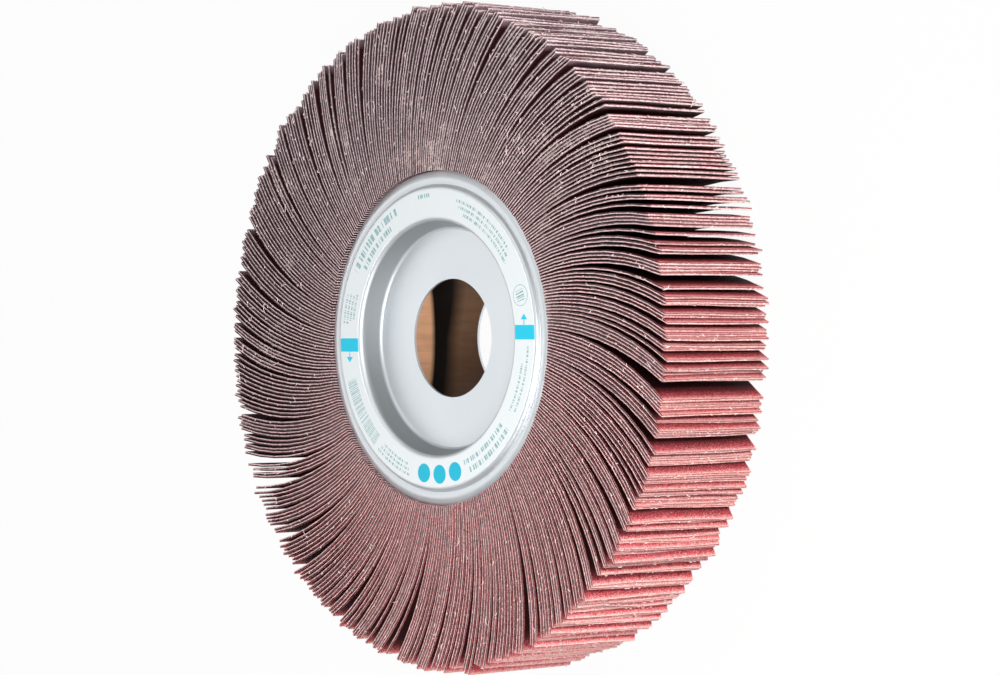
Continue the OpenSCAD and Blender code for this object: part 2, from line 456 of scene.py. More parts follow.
def grain_finish():
    """Sharp grain set in resin, worn pale at the edges, and darkening further in from the tip and sides as
    painted shade for the gaps between the flaps.
    """
    nodes = Nodes("abrasive_grain")
    grain = colours().grain
    place = nodes.object_place()
    depth = buried(nodes, 9.0)
    shade = nodes.cells(place, GRAIN_CELLS, output="Color")
    gap = nodes.cells(place, GRAIN_CELLS)
    base = nodes.blend(shade, darker(grain, 0.45), darker(grain, 1.5))
    base = nodes.blend(nodes.remap(gap, 0.40, 0.70, 0.0, 0.8), base, darker(grain, 0.16))
    bright = nodes.math("GREATER_THAN", nodes.noise(place, FLECK_NOISE, detail=1), 0.62)
    base = nodes.blend(nodes.math("MULTIPLY", bright, 0.5), base, FLECK)
    ragged = nodes.math("ADD", depth, nodes.remap(shade, 0, 1, -1.0 * MM, 1.0 * MM))
    base = nodes.blend(nodes.remap(ragged, 0.2 * MM, 1.8 * MM, 0.75, 0.0), base, WORN_GRAIN)
    # Painted shade: darker further in from the flap's tip and sides, where shade falls between the flaps.
    base = nodes.blend(nodes.remap(ragged, 1.6 * MM, 5.0 * MM, 0.0, 0.9), base, darker(grain, 0.10))
    base = nodes.blend(nodes.remap(depth, 4 * MM, 8 * MM), base, darker(grain, 0.04))
    base = nodes.blend(edge_fray(nodes, place, 0.15 * MM, 1.0 * MM), base, FRAYED_GRAIN)
    height = nodes.math("SUBTRACT", 1.0, gap)
    return nodes.finish(base, 0.70, nodes.bump(height, 0.3 * MM, 1.0), 0.12)


def cloth_finish():
    """The woven back of a flap, filled with dark size, and darkened to near black further in as painted
    shade between the flaps.
    """
    nodes = Nodes("backing_cloth")
    cloth = colours().cloth
    across, along = nodes.flap_place()
    warp = nodes.math("SINE", nodes.math("MULTIPLY", across, math.pi / YARN_PITCH))
    weft = nodes.math("SINE", nodes.math("MULTIPLY", along, math.pi / YARN_PITCH))
    weave = nodes.math("ABSOLUTE", nodes.math("MULTIPLY", warp, weft))
    place = nodes.object_place()
    stain = nodes.noise(place, STAIN_NOISE, detail=5, roughness=0.65)
    base = nodes.blend(nodes.remap(stain, 0.3, 0.7), darker(cloth, 0.6), darker(cloth, 1.5))
    base = nodes.blend(nodes.math("MULTIPLY", weave, 0.45), base, darker(cloth, 1.9))
    # Painted shade: the cloth darkens to near black further in from the tip and sides, where shade falls
    # between the flaps.
    painted_gap_shade = nodes.remap(buried(nodes, 6.0), 0.6 * MM, 4 * MM, 0.0, 0.97)
    base = nodes.blend(painted_gap_shade, base, darker(colours().grain, 0.06))
    base = nodes.blend(edge_fray(nodes, place, 0.25 * MM, 0.8 * MM), base, darker(colours().cut, 0.8))
    return nodes.finish(base, 0.82, nodes.bump(weave, 0.12 * MM, 0.8), 0.06)


def cut_finish():
    """A flap's cut edge: pale yarn ends on the cloth's side, dark broken grain on the other, deepened to
    near black as painted shade for the gaps between flaps. Painted warm light makes the yarn and grit
    redder on the wheel's lower half.
    """
    nodes = Nodes("cut_edge")
    cut, grain = colours().cut, colours().grain
    place = nodes.object_place()
    tone = nodes.attribute("tone")
    fuzz = nodes.noise(place, FUZZ_NOISE, detail=3, roughness=0.7)
    wander = nodes.math("ADD", nodes.attribute("layer"), nodes.remap(fuzz, 0.3, 0.7, -0.14, 0.14))
    at_tip = nodes.remap(edge_distances(nodes)[1], 0.3 * MM, 1.5 * MM, 1.0, 0.0)
    # Painted warm light: the yarn and grit turn redder, and the yarn's share of the edge grows, towards the
    # wheel's lower half.
    warm_lit = painted_warm_light(nodes, place)
    yarn_share = nodes.remap(at_tip, 0, 1, nodes.remap(warm_lit, 0, 1, 0.37, 0.42), 0.58)
    grain_side = nodes.remap(nodes.math("SUBTRACT", wander, yarn_share), 0.0, 0.08)
    yarn = nodes.blend(at_tip, nodes.blend(warm_lit, cut, WARM_LIT_YARN), nodes.blend(warm_lit, cut, WARM_LIT_TIP))
    knots = nodes.cells(place, KNOT_CELLS)
    yarn = nodes.blend(nodes.remap(knots, 0.40, 0.68, 0.0, 0.6), yarn, darker(cut, 0.20))
    bright = nodes.remap(nodes.noise(place, STRAND_NOISE, detail=1), 0.50, 0.60)
    strand = nodes.blend(warm_lit, PLAIN_STRAND, WARM_LIT_STRAND)
    yarn = nodes.blend(nodes.math("MULTIPLY", bright, 0.5), yarn, strand)
    grit = nodes.cells(place, GRIT_CELLS, output="Color")
    # Painted shade: the grain's half of the edge is darkened to near black for the shaded gaps between
    # flaps, and turns a little redder under the painted warm light.
    dark = nodes.blend(grit, darker(grain, 0.01), darker(grain, 0.07))
    dark = nodes.blend(nodes.math("MULTIPLY", warm_lit, 0.8), dark, darker(grain, 0.045))
    broken = nodes.blend(grit, darker(grain, 0.05), darker(grain, 0.20))
    broken = nodes.blend(warm_lit, broken, darker(grain, 0.40))
    base = nodes.blend(grain_side, yarn, nodes.blend(at_tip, dark, broken))
    dust = nodes.noise(place, DUST_NOISE, detail=5, roughness=0.7)
    dust = nodes.math("MULTIPLY", nodes.remap(dust, 0.54, 0.62, 0.0, 0.85), nodes.remap(fuzz, 0.49, 0.56))
    # Fewer pale dust patches where the painted warm light is strong.
    dust = nodes.math("MULTIPLY", dust, nodes.remap(warm_lit, 0.1, 0.7, 1.0, 0.15))
    base = nodes.blend(dust, base, PALE_DUST)
    base = nodes.blend(nodes.remap(tone, 0, 1, 0.0, 0.30), base, darker(cut, 0.25))
    return nodes.finish(base, 0.85, nodes.bump(fuzz, 0.35 * MM, 0.9), 0.1)


def thread_finish():
    nodes = Nodes("loose_thread")
    place = nodes.object_place()
    base = nodes.blend(nodes.noise(place, 800), darker(colours().cut, 0.9), CLEAN_THREAD)
    return nodes.finish(base, 0.8, shine=0.1)


def resin_finish():
    nodes = Nodes("cast_resin")
    place = nodes.object_place()
    mottle = nodes.noise(place, 260, detail=4)
    base = nodes.blend(mottle, darker(colours().resin, 0.6), darker(colours().resin, 1.8))
    return nodes.finish(base, 0.55, nodes.bump(mottle, 0.3 * MM, 0.6))


def sheet_finish(name):
    """Pressed sheet with a satin zinc coat and faint scuffs, with painted shade on the dish wall, which is
    also rougher there.
    """
    nodes = Nodes(name)
    place = nodes.object_place()
    cloud = nodes.noise(place, 45, detail=4, roughness=0.6)
    scuff_lines = nodes.noise(nodes.stretch(place, (1.0, 9.0, 1.0)), 90, detail=5, roughness=0.7)
    scuffs = nodes.remap(scuff_lines, 0.66, 0.74)
    base = nodes.blend(cloud, darker(colours().sheet, 0.92), darker(colours().sheet, 1.05))
    base = nodes.blend(nodes.math("MULTIPLY", scuffs, 0.18), base, darker(colours().sheet, 0.6))
    across, up, along = nodes.parts(place)
    height = nodes.math("ABSOLUTE", along)
    # Painted shade on the dish wall, between its foot and its mouth; the wall is made rougher there too.
    above_foot = nodes.remap(height, DISH_FLOOR + 0.4 * MM, DISH_FLOOR + 1.4 * MM)
    below_mouth = nodes.remap(height, LABEL_LOW.z - 1.4 * MM, LABEL_LOW.z - 0.4 * MM, 1.0, 0.0)
    inside = nodes.math("LESS_THAN", nodes.hypot(across, up), LABEL_HIGH.x - 6 * MM)
    painted_wall_shade = nodes.math("MULTIPLY", nodes.math("MULTIPLY", above_foot, below_mouth), inside)
    base = nodes.blend(nodes.math("MULTIPLY", painted_wall_shade, 0.85), base, darker(colours().sheet, 0.4))
    rough = nodes.remap(cloud, 0.3, 0.7, 0.46, 0.54)
    rough = nodes.math("ADD", rough, nodes.math("MULTIPLY", scuffs, 0.12))
    rough = nodes.math("ADD", rough, nodes.math("MULTIPLY", painted_wall_shade, 0.15))
    nodes.shader.inputs["Metallic"].default_value = 0.85
    fine = nodes.noise(place, 1400, detail=2)
    return nodes.finish(base, rough, nodes.bump(fine, 0.03 * MM, 0.35))


def tube_finish():
    """Wound paper with its fibres along the tube, and a painted shadow inside the bore: lit near the mouth,
    near black past a slanted line, with faint painted light further in that fades towards the top.
    """
    nodes = Nodes("wound_paper")
    place = nodes.object_place()
    fibres = nodes.noise(nodes.stretch(place, (1.0, 1.0, 0.12)), 420, detail=5, roughness=0.65)
    blotch = nodes.noise(place, 70, detail=3)
    base = nodes.blend(blotch, darker(colours().paper_tube, 0.8), darker(colours().paper_tube, 1.2))
    base = nodes.blend(nodes.remap(fibres, 0.4, 0.75, 0.0, 0.45), base, darker(colours().paper_tube, 0.5))
    across, up, along = nodes.parts(place)
    # Painted shadow in the bore: base colour near the mouth, near black past a slanted line further in, and
    # faint painted light towards the far end, weaker towards the top.
    from_wall = nodes.math("SUBTRACT", TUBE_HIGH.x, nodes.math("ABSOLUTE", across))
    inward = nodes.math("SUBTRACT", along, from_wall)
    mouth = nodes.remap(inward, 3.2 * MM, 5.4 * MM)
    top_shade = nodes.math("MULTIPLY", nodes.math("MAXIMUM", up, 0.0), 0.25)
    painted_rear_light = nodes.remap(nodes.math("ADD", inward, top_shade), -9.0 * MM, -2.0 * MM, 0.22, 0.0)
    unshadowed = nodes.math("MAXIMUM", mouth, painted_rear_light)
    base = nodes.blend(unshadowed, darker(colours().paper_tube, 0.004), base)
    rough = nodes.remap(blotch, 0.3, 0.7, 0.5, 0.6)
    return nodes.finish(base, rough, nodes.bump(fibres, 0.06 * MM, 0.5), 0.05)


# The label's print, as plain shapes on the label's own plane. Sizes are in millimetres
# and angles in degrees.

class PrintShapes:
    """Masks for the printed shapes, made with one material's nodes."""

    def __init__(self, nodes, place):
        self.nodes = nodes
        self.x, self.y = (nodes.math("DIVIDE", part, MM) for part in nodes.parts(place)[:2])
        self.radius = nodes.hypot(self.x, self.y)
        self.angle = nodes.math("ARCTAN2", self.y, self.x)

    def between(self, value, low, high):
        nodes = self.nodes
        return nodes.math(
            "MULTIPLY", nodes.math("GREATER_THAN", value, low), nodes.math("LESS_THAN", value, high))

    def both(self, first, second):
        return self.nodes.math("MULTIPLY", first, second)

    def any_of(self, masks):
        whole = masks[0]
        for mask in masks[1:]:
            whole = self.nodes.math("MAXIMUM", whole, mask)
        return whole

    def block(self, left, right, low, high):
        return self.both(self.between(self.x, left, right), self.between(self.y, low, high))

    def arc(self, start, end, inner, outer):
        """A patch between two angles and two radii."""
        nodes = self.nodes
        turned = nodes.math("SUBTRACT", self.angle, math.radians((start + end) / 2))
        turned = nodes.math("WRAP", turned, math.pi, -math.pi)
        inside = nodes.math("LESS_THAN", nodes.math("ABSOLUTE", turned), math.radians(end - start) / 2)
        return self.both(inside, self.between(self.radius, inner, outer))

    def dashes(self, start, end, inner, outer, rate, share):
        """Uneven strokes across a patch. The rate is about how many lie in a degree."""
        noise = self.nodes.add("ShaderNodeTexNoise", noise_dimensions="1D")
        self.nodes.feed(noise.inputs["W"], self.nodes.math("MULTIPLY", self.angle, math.degrees(rate)))
        noise.inputs["Scale"].default_value = 1.0
        noise.inputs["Detail"].default_value = 0.0
        stroke = self.nodes.math("LESS_THAN", noise.outputs["Fac"], share)
        return self.both(stroke, self.arc(start, end, inner, outer))

    def distance(self, middle, radius):
        """How far a point lies from a place on the ring."""
        nodes = self.nodes
        across = nodes.math("SUBTRACT", self.x, radius * math.cos(math.radians(middle)))
        along = nodes.math("SUBTRACT", self.y, radius * math.sin(math.radians(middle)))
        return nodes.hypot(across, along)

    def arrow(self, side, base):
        """An arrow round the ring: along +Y on the +X side, and along -Y on the -X side."""
        nodes = self.nodes
        off = nodes.math("SUBTRACT", nodes.math("MULTIPLY", self.x, side), ARROW_RADIUS)
        off = nodes.math("ABSOLUTE", off)
        ahead = nodes.math("SUBTRACT", nodes.math("MULTIPLY", self.y, side), base)
        shaft = self.both(
            nodes.math("LESS_THAN", off, ARROW_SHAFT), self.between(ahead, 0.0, ARROW_LENGTH - ARROW_HEAD))
        slope = nodes.math("MULTIPLY", nodes.math("SUBTRACT", ARROW_LENGTH, ahead), ARROW_SLOPE)
        pointed = nodes.math("GREATER_THAN", ahead, ARROW_LENGTH - ARROW_HEAD)
        head = self.both(nodes.math("LESS_THAN", off, slope), pointed)
        return nodes.math("MAXIMUM", shaft, head)


ARROW_RADIUS, ARROW_LENGTH, ARROW_HEAD = 49.5, 4.1, 2.1
ARROW_SHAFT, ARROW_SLOPE = 0.24, 0.85
# The two strong blocks: left, right, low and high.
STRONG_BLOCKS = ((44.7, 55.3, -0.5, 4.7), (-55.3, -44.4, -5.2, -0.1))
# Rows of uneven strokes where the print has small lines: start, end, inner, outer,
# strokes in a degree and inked share.
SMALL_LINES = (
    (93, 101, 52.2, 53.6, 0.8, 0.55),
    (115, 151, 50.6, 53.4, 0.55, 0.50),
    (120, 147, 46.9, 49.0, 0.70, 0.50),
    (38, 76, 51.4, 52.5, 1.1, 0.50),
    (36, 74, 49.3, 50.4, 1.1, 0.50),
    (34, 70, 47.2, 48.3, 1.1, 0.50),
    (162, 174, 52.6, 53.6, 1.3, 0.50),
    (161, 174, 50.8, 51.8, 1.3, 0.50),
    (161, 173, 49.0, 50.0, 1.3, 0.50),
    (160, 172, 47.2, 48.2, 1.3, 0.50),
    (198, 229, 48.2, 53.4, 2.4, 0.47),
    (232, 254, 52.4, 53.4, 1.2, 0.50),
    (233, 253, 50.6, 51.6, 1.2, 0.50),
    (234, 252, 48.8, 49.8, 1.2, 0.50),
    (292, 321, 51.0, 53.0, 0.75, 0.50),
    (290, 320, 47.6, 49.4, 0.75, 0.50),
    (329, 357, 51.2, 52.2, 1.2, 0.50),
    (328, 350, 48.8, 49.8, 1.2, 0.50),
)
# Plain discs and a thin ring: middle, radius, and own radius.
DISCS = ((263.1, 50.3, 3.5), (273.2, 50.3, 3.5), (283.3, 50.3, 3.5))
THIN_RING = (17.9, 50.0, 3.9)
THIN_RING_LINE = 0.25
THIN_RING_STROKES = (15.5, 20.3, 47.8, 51.9, 1.5, 0.5)


def label_finish():
    """Coated paper with blocks, arrows, discs and rows of small uneven strokes."""
    nodes = Nodes("printed_paper")
    place = nodes.object_place()
    shapes = PrintShapes(nodes, place)
    strong = [shapes.block(*edges) for edges in STRONG_BLOCKS]
    strong += [shapes.arrow(1.0, STRONG_BLOCKS[0][3]), shapes.arrow(-1.0, -STRONG_BLOCKS[1][2])]
    small = [shapes.dashes(*line) for line in SMALL_LINES]
    ring = shapes.distance(*THIN_RING[:2])
    small.append(shapes.between(ring, THIN_RING[2] - THIN_RING_LINE, THIN_RING[2]))
    small.append(shapes.dashes(*THIN_RING_STROKES))
    discs = [nodes.math("LESS_THAN", shapes.distance(middle, radius), own) for middle, radius, own in DISCS]
    fibre = nodes.noise(place, 900, detail=3)
    paper = nodes.blend(fibre, darker(colours().label, 0.97), darker(colours().label, 1.02))
    worn = nodes.remap(nodes.noise(place, 1300, detail=2), 0.3, 0.6, 0.50, 0.85)
    base = nodes.blend(nodes.math("MULTIPLY", shapes.any_of(small), worn), paper, colours().fine_ink)
    base = nodes.blend(shapes.any_of(discs), base, darker(colours().ink, 0.85))
    base = nodes.blend(shapes.any_of(strong), base, colours().ink)
    return nodes.finish(base, 0.42, nodes.bump(fibre, 0.02 * MM, 0.3), 0.25)


# Pieces.

LENGTH_STEPS = 7
WIDTH_CUTS = 2
# A flap's ripple at its tip, in free gaps, and its turn from mid-width to a side, in
# radians. It drifts so little from one flap to the next that neighbours stay apart.
RIPPLE, RIPPLE_SKEW = 0.12, 0.05
RIPPLE_TURN, RIPPLE_DRIFT = 2.6, 0.35
# Wear at a flap's tip, beyond this share of its length, and along its sides.
TIP_SHARE, TIP_SLOPE, TIP_FRAY = 0.97, 0.8 * MM, 0.12 * MM
SIDE_SHARE, SIDE_FRAY = 0.98, 0.06 * MM
FLAP_SMOOTHING, CORE_SMOOTHING = 40, 30
CORE_STEPS, WELD = 128, 0.01 * MM
FLAP_GROUPS = 6

# Loose threads: how many, and their lengths, thicknesses and curl.
TREAD_THREADS, SIDE_THREADS = 1800, 600
THREAD_SIDES, THREAD_CUTS = 4, 3
THREAD_LENGTH, THREAD_THICKNESS, THREAD_CURL = (0.6 * MM, 1.7 * MM), (0.24 * MM, 0.46 * MM), 0.3
LONG_THREADS, LONG_THREAD = 0.07, 2.5
THREAD_SINK = 0.14 * MM


def tip_arc():
    """How far a flap's tip lies along its arc, as the weave's map has it."""
    return flap_turn(sizes().tip_radius) * sizes().bend_radius


def flap_blank():
    """One flap, bent along its arc with its root on +X, and as wide as the wheel."""
    half_width = PACK_HIGH.z
    root, tip = sizes().root_radius, sizes().tip_radius
    start, end = flap_turn(root), flap_turn(tip)
    bend, straight = sizes().bend_radius, sizes().straight_radius

    def on_arc(turn):
        return Vector((straight + bend * math.sin(turn), -bend * (1 - math.cos(turn)), 0))

    step = (end - start) / LENGTH_STEPS
    first, second = on_arc(start), on_arc(start + step)
    deselect()
    bpy.ops.mesh.primitive_plane_add(size=1)
    flap = bpy.context.active_object
    flap.name = "flap_blank"
    bpy.ops.object.mode_set(mode="EDIT")
    bpy.ops.mesh.select_all(action="SELECT")
    bpy.ops.transform.rotate(
        value=math.pi / 2, orient_axis="X", orient_type="GLOBAL", center_override=(0, 0, 0))
    bpy.ops.transform.resize(value=((second - first).length, 1, 2 * half_width))
    for cut in range(1, WIDTH_CUTS + 1):
        bpy.ops.mesh.select_all(action="SELECT")
        height = half_width * (2 * cut / (WIDTH_CUTS + 1) - 1)
        bpy.ops.mesh.bisect(plane_co=(0, 0, height), plane_no=(0, 0, 1))
    half_step = (second - first).length / 2
    select_vertices(flap, lambda place: place.x > half_step * 0.5)
    for _ in range(1, LENGTH_STEPS):
        bpy.ops.mesh.extrude_region_move(TRANSFORM_OT_translate={"value": (2 * half_step, 0, 0)})
    bpy.ops.object.mode_set(mode="OBJECT")
    places = coordinates(flap.data)
    turns = start + (places[:, 0] + half_step) / (2 * half_step) * step
    places[:, 0] = straight + bend * np.sin(turns)
    places[:, 1] = -bend * (1 - np.cos(turns))
    set_coordinates(flap.data, places)
    solidify = flap.modifiers.new("thickness", "SOLIDIFY")
    solidify.thickness = sizes().thickness
    solidify.offset = 0
    solidify.material_offset = 1
    solidify.material_offset_rim = 2
    set_materials(flap, FINISHES["grain"], FINISHES["cloth"], FINISHES["cut"])
    apply_modifier(flap, solidify)
    return flap


def mark_layers(flap):
    """Marks the grain's side with 1 and the cloth's with 0, and unrolls the flap for the weave."""
    mesh = flap.data
    places = coordinates(mesh)
    bend, straight = sizes().bend_radius, sizes().straight_radius
    from_centre = np.hypot(places[:, 0] - straight, places[:, 1] + bend)
    outside = from_centre > bend
    layer = mesh.attributes.new("layer", "FLOAT", "POINT")
    layer.data.foreach_set("value", outside.astype(float))
    mesh.attributes.new("tone", "FLOAT", "POINT")
    if mesh.uv_layers:
        weave = mesh.uv_layers[0]
        weave.name = "Weave"
    else:
        weave = mesh.uv_layers.new(name="Weave")
    turns = np.arctan2(places[:, 0] - straight, places[:, 1] + bend)
    for loop in mesh.loops:
        place = places[loop.vertex_index]
        weave.data[loop.index].uv = (place[2], turns[loop.vertex_index] * bend)
    for polygon in mesh.polygons:
        corners = [outside[index] for index in polygon.vertices]
        if all(corners):
            polygon.material_index = 0
        elif not any(corners):
            polygon.material_index = 1
        else:
            polygon.material_index = 2


def placed_flap(blank, number, shifts, random):
    """A copy of the blank at its place round the wheel, with its own bunching and wear."""
    flap = blank.copy()
    flap.data = blank.data.copy()
    bpy.context.scene.collection.objects.link(flap)
    places = coordinates(flap.data)
    root, tip = sizes().root_radius, sizes().tip_radius
    radii = np.hypot(places[:, 0], places[:, 1])
    from_middle = radii * (np.arctan2(places[:, 1], places[:, 0]) + each(flap_trail, radii))
    share = np.clip((radii - root) / (tip - root), 0, 1)
    height = places[:, 2] / PACK_HIGH.z
    slope = (draw(number, 16) - 0.5) * TIP_SLOPE * height
    fray = random.normal(0, TIP_FRAY, len(radii))
    radii = radii - share * flap_wear(number) + (slope + fray) * (share > TIP_SHARE)
    share = np.clip((radii - root) / (tip - root), 0, 1)
    wave = np.sin(height * RIPPLE_TURN + number * RIPPLE_DRIFT)
    ripple = RIPPLE * wave + RIPPLE_SKEW * (draw(number, 13) - 0.5) * height
    angles = 2 * math.pi * number / sizes().count - each(flap_trail, radii) + from_middle / radii
    angles = angles + each(free_angle, radii) * (shifts[number] * share + ripple * share ** 2)
    set_back = sizes().side_scatter * draw(number, 14)
    side = np.abs(height) > SIDE_SHARE
    rough = np.abs(random.normal(0, SIDE_FRAY, len(radii)))
    places[:, 2] = places[:, 2] - side * np.sign(places[:, 2]) * (set_back + rough)
    places[:, 0] = np.clip(radii * np.cos(angles), PACK_LOW.x, PACK_HIGH.x)
    places[:, 1] = np.clip(radii * np.sin(angles), PACK_LOW.y, PACK_HIGH.y)
    set_coordinates(flap.data, places)
    tone = flap.data.attributes["tone"]
    tone.data.foreach_set("value", np.full(len(places), draw(number, 15)))
    return flap


def flap_point(number, share, shifts):
    """A place at mid-width on a flap, this share of the way from its root to its tip."""
    root, tip = sizes().root_radius, sizes().tip_radius
    radius = root + share * (tip - root - flap_wear(number))
    shift = shifts[number] * free_angle(radius) * (radius - root) / (tip - root)
    turn = 2 * math.pi * number / sizes().count - flap_trail(radius) + shift
    return Vector((radius * math.cos(turn), radius * math.sin(turn), 0))


def thread_blank():
    """A straight piece of yarn along X, 1 mm long, to be curled and laid by its copies."""
    deselect()
    bpy.ops.mesh.primitive_cylinder_add(
        vertices=THREAD_SIDES, radius=0.5 * MM, depth=1 * MM, rotation=(0, math.pi / 2, 0))
    thread = bpy.context.active_object
    bpy.ops.object.transform_apply(location=True, rotation=True, scale=True)
    bpy.ops.object.mode_set(mode="EDIT")
    for cut in range(1, THREAD_CUTS + 1):
        bpy.ops.mesh.select_all(action="SELECT")
        along = (cut / (THREAD_CUTS + 1) - 0.5) * MM
        bpy.ops.mesh.bisect(plane_co=(along, 0, 0), plane_no=(1, 0, 0))
    bpy.ops.object.mode_set(mode="OBJECT")
    set_materials(thread, FINISHES["thread"])
    return thread


def placed_thread(blank, middle, along, across, length, thickness, curl):
    """A copy of the blank, curled in the plane of two directions, round its middle."""
    thread = blank.copy()
    thread.data = blank.data.copy()
    bpy.context.scene.collection.objects.link(thread)
    places = coordinates(thread.data) / MM
    along, across = np.array(along.normalized()), np.array(across.normalized())
    third = np.cross(along, across)
    taper = 1 - 0.5 * np.abs(2 * places[:, 0]) ** 2
    x = places[:, 0] * length
    y = places[:, 1] * thickness * taper + curl * length * (places[:, 0] ** 2 * 4 - 0.5)
    z = places[:, 2] * thickness * taper
    placed = np.array(middle) + np.outer(x, along) + np.outer(y, across) + np.outer(z, third)
    low, high = np.array(PACK_LOW), np.array(PACK_HIGH)
    set_coordinates(thread.data, np.clip(placed, low, high))
    return thread


def tread_place(flap, shifts, random):
    """Where a loose thread lies on a flap's tip: its middle and its two directions."""
    axis = Vector((0, 0, 1))
    middle = flap_point(flap, 1, shifts)
    along_flap = middle - flap_point(flap, 0.98, shifts)
    middle += axis * random.uniform(PACK_LOW.z, PACK_HIGH.z) * 0.98
    middle += along_flap.normalized() * random.uniform(-0.2 * MM, 0.35 * MM)
    along = axis + axis.cross(along_flap).normalized() * random.normal(0, 0.7)
    return middle, along, along_flap


def side_place(flap, shifts, random, side):
    """Where a loose thread lies on a flap's side edge: its middle and its two directions."""
    axis = Vector((0, 0, 1))
    share = math.sqrt(random.uniform(0.02, 0.96))
    middle = flap_point(flap, share, shifts)
    along_flap = flap_point(flap, share + 0.02, shifts) - middle
    middle += axis * side * (PACK_HIGH.z - THREAD_SINK)
    along = along_flap.normalized() + axis.cross(along_flap).normalized() * random.normal(0, 1.0)
    return middle, along, axis.cross(along)


FINISHES = {}


class FLAPWHEEL_OT_finishes(bpy.types.Operator):
    """Makes the materials"""

    bl_idname = "flapwheel.finishes"
    bl_label = "Finishes"

    def execute(self, context):
        FINISHES["grain"] = grain_finish()
        FINISHES["cloth"] = cloth_finish()
        FINISHES["cut"] = cut_finish()
        FINISHES["thread"] = thread_finish()
        FINISHES["resin"] = resin_finish()
        FINISHES["front_sheet"] = sheet_finish("front_sheet_coat")
        FINISHES["rear_sheet"] = sheet_finish("rear_sheet_coat")
        FINISHES["tube"] = tube_finish()
        FINISHES["label"] = label_finish()
        return {"FINISHED"}


class FLAPWHEEL_OT_flaps(bpy.types.Operator):
    """Makes the abrasive flaps, bunched and worn"""

    bl_idname = "flapwheel.flaps"
    bl_label = "Flaps"

    def execute(self, context):
        blank = flap_blank()
        mark_layers(blank)
        make_active(blank)
        bpy.ops.object.shade_smooth_by_angle(angle=math.radians(FLAP_SMOOTHING))
        shifts = tuft_plan()
        random = np.random.default_rng(5)
        count = sizes().count
        for group in range(FLAP_GROUPS):
            numbers = range(count * group // FLAP_GROUPS, count * (group + 1) // FLAP_GROUPS)
            flaps = [placed_flap(blank, number, shifts, random) for number in numbers]
            piece = join(flaps, "flaps_%d" % (group + 1))
            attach(piece, "root")
            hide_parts("flap_pack")
        bpy.data.objects.remove(blank)
        return {"FINISHED"}


class FLAPWHEEL_OT_threads(bpy.types.Operator):
    """Makes the yarn ends that have come loose at the tips and on the two sides"""

    bl_idname = "flapwheel.threads"
    bl_label = "Loose threads"

    def execute(self, context):
        blank = thread_blank()
        shifts = tuft_plan()
        random = np.random.default_rng(23)
        for name, number, side in (
            ("tread_threads", TREAD_THREADS, 0),
            ("front_threads", SIDE_THREADS, 1),
            ("rear_threads", SIDE_THREADS, -1),
        ):
            threads = []
            for _ in range(number):
                flap = int(random.integers(sizes().count))
                length = random.uniform(*THREAD_LENGTH)
                if random.random() < LONG_THREADS:
                    length *= LONG_THREAD
                if side:
                    place = side_place(flap, shifts, random, side)
                else:
                    place = tread_place(flap, shifts, random)
                curl = random.uniform(-THREAD_CURL, THREAD_CURL)
                thickness = random.uniform(*THREAD_THICKNESS)
                threads.append(placed_thread(blank, *place, length, thickness, curl))
            piece = join(threads, name)
            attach(piece, "root")
        bpy.data.objects.remove(blank)
        return {"FINISHED"}


class FLAPWHEEL_OT_core(bpy.types.Operator):
    """Makes the cast core that binds the flaps"""

    bl_idname = "flapwheel.core"
    bl_label = "Core"

    def execute(self, context):
        floor = TUBE_HIGH.z - 0.2 * MM
        plateau = LABEL_LOW.z - 1.2 * MM
        rim_floor = LABEL_LOW.z - 3.6 * MM
        top = PACK_HIGH.z - 1.6 * MM
        inner = TUBE_HIGH.x + 0.1 * MM
        foot, mouth = RIM_HIGH.x - 19.9 * MM, RIM_HIGH.x - 17.1 * MM
        shoulder, crease = RIM_HIGH.x - 6.6 * MM, RIM_HIGH.x - 5.8 * MM
        seat, bond = RIM_HIGH.x + 0.4 * MM, RIM_HIGH.x + 1.4 * MM
        half = (
            (inner, floor), (foot, floor), (mouth, plateau), (shoulder, plateau),
            (crease, rim_floor), (seat, rim_floor), (seat, top), (bond, top),
        )
        profile = list(half) + [(radius, -height) for radius, height in reversed(half)]
        deselect()
        bpy.ops.mesh.primitive_plane_add(size=1)
        core = bpy.context.active_object
        core.name = "resin_core"
        bpy.ops.object.mode_set(mode="EDIT")
        bpy.ops.mesh.select_all(action="SELECT")
        bpy.ops.mesh.merge(type="CENTER")
        bpy.ops.transform.translate(value=(profile[0][0], 0, profile[0][1]))
        for before, after in zip(profile, profile[1:]):
            move = (after[0] - before[0], 0, after[1] - before[1])
            bpy.ops.mesh.extrude_region_move(TRANSFORM_OT_translate={"value": move})
        bpy.ops.mesh.select_all(action="SELECT")
        bpy.ops.mesh.remove_doubles(threshold=WELD)
        bpy.ops.mesh.select_all(action="SELECT")
        bpy.ops.mesh.edge_face_add()
        bpy.ops.mesh.delete(type="ONLY_FACE")
        bpy.ops.mesh.select_all(action="SELECT")
        bpy.ops.mesh.spin(steps=CORE_STEPS, angle=2 * math.pi, center=(0, 0, 0), axis=(0, 0, 1))
        bpy.ops.mesh.select_all(action="SELECT")
        bpy.ops.mesh.remove_doubles(threshold=WELD)
        bpy.ops.mesh.normals_make_consistent(inside=False)
        bpy.ops.object.mode_set(mode="OBJECT")
        make_active(core)
        bpy.ops.object.shade_smooth_by_angle(angle=math.radians(CORE_SMOOTHING))
        core.data.name = "resin_core"
        set_materials(core, FINISHES["resin"])
        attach(core, "root")
        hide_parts("flap_pack")
        return {"FINISHED"}


class FLAPWHEEL_OT_dress(bpy.types.Operator):
    """Puts the finishes on the flanges, the tube and the label"""

    bl_idname = "flapwheel.dress"
    bl_label = "Flanges, tube and label"

    def execute(self, context):
        for node, finish in (
            ("front_flange", "front_sheet"), ("rear_flange", "rear_sheet"),
            ("core_tube", "tube"), ("label_ring", "label"),
        ):
            set_materials(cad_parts[node], FINISHES[finish])
        return {"FINISHED"}


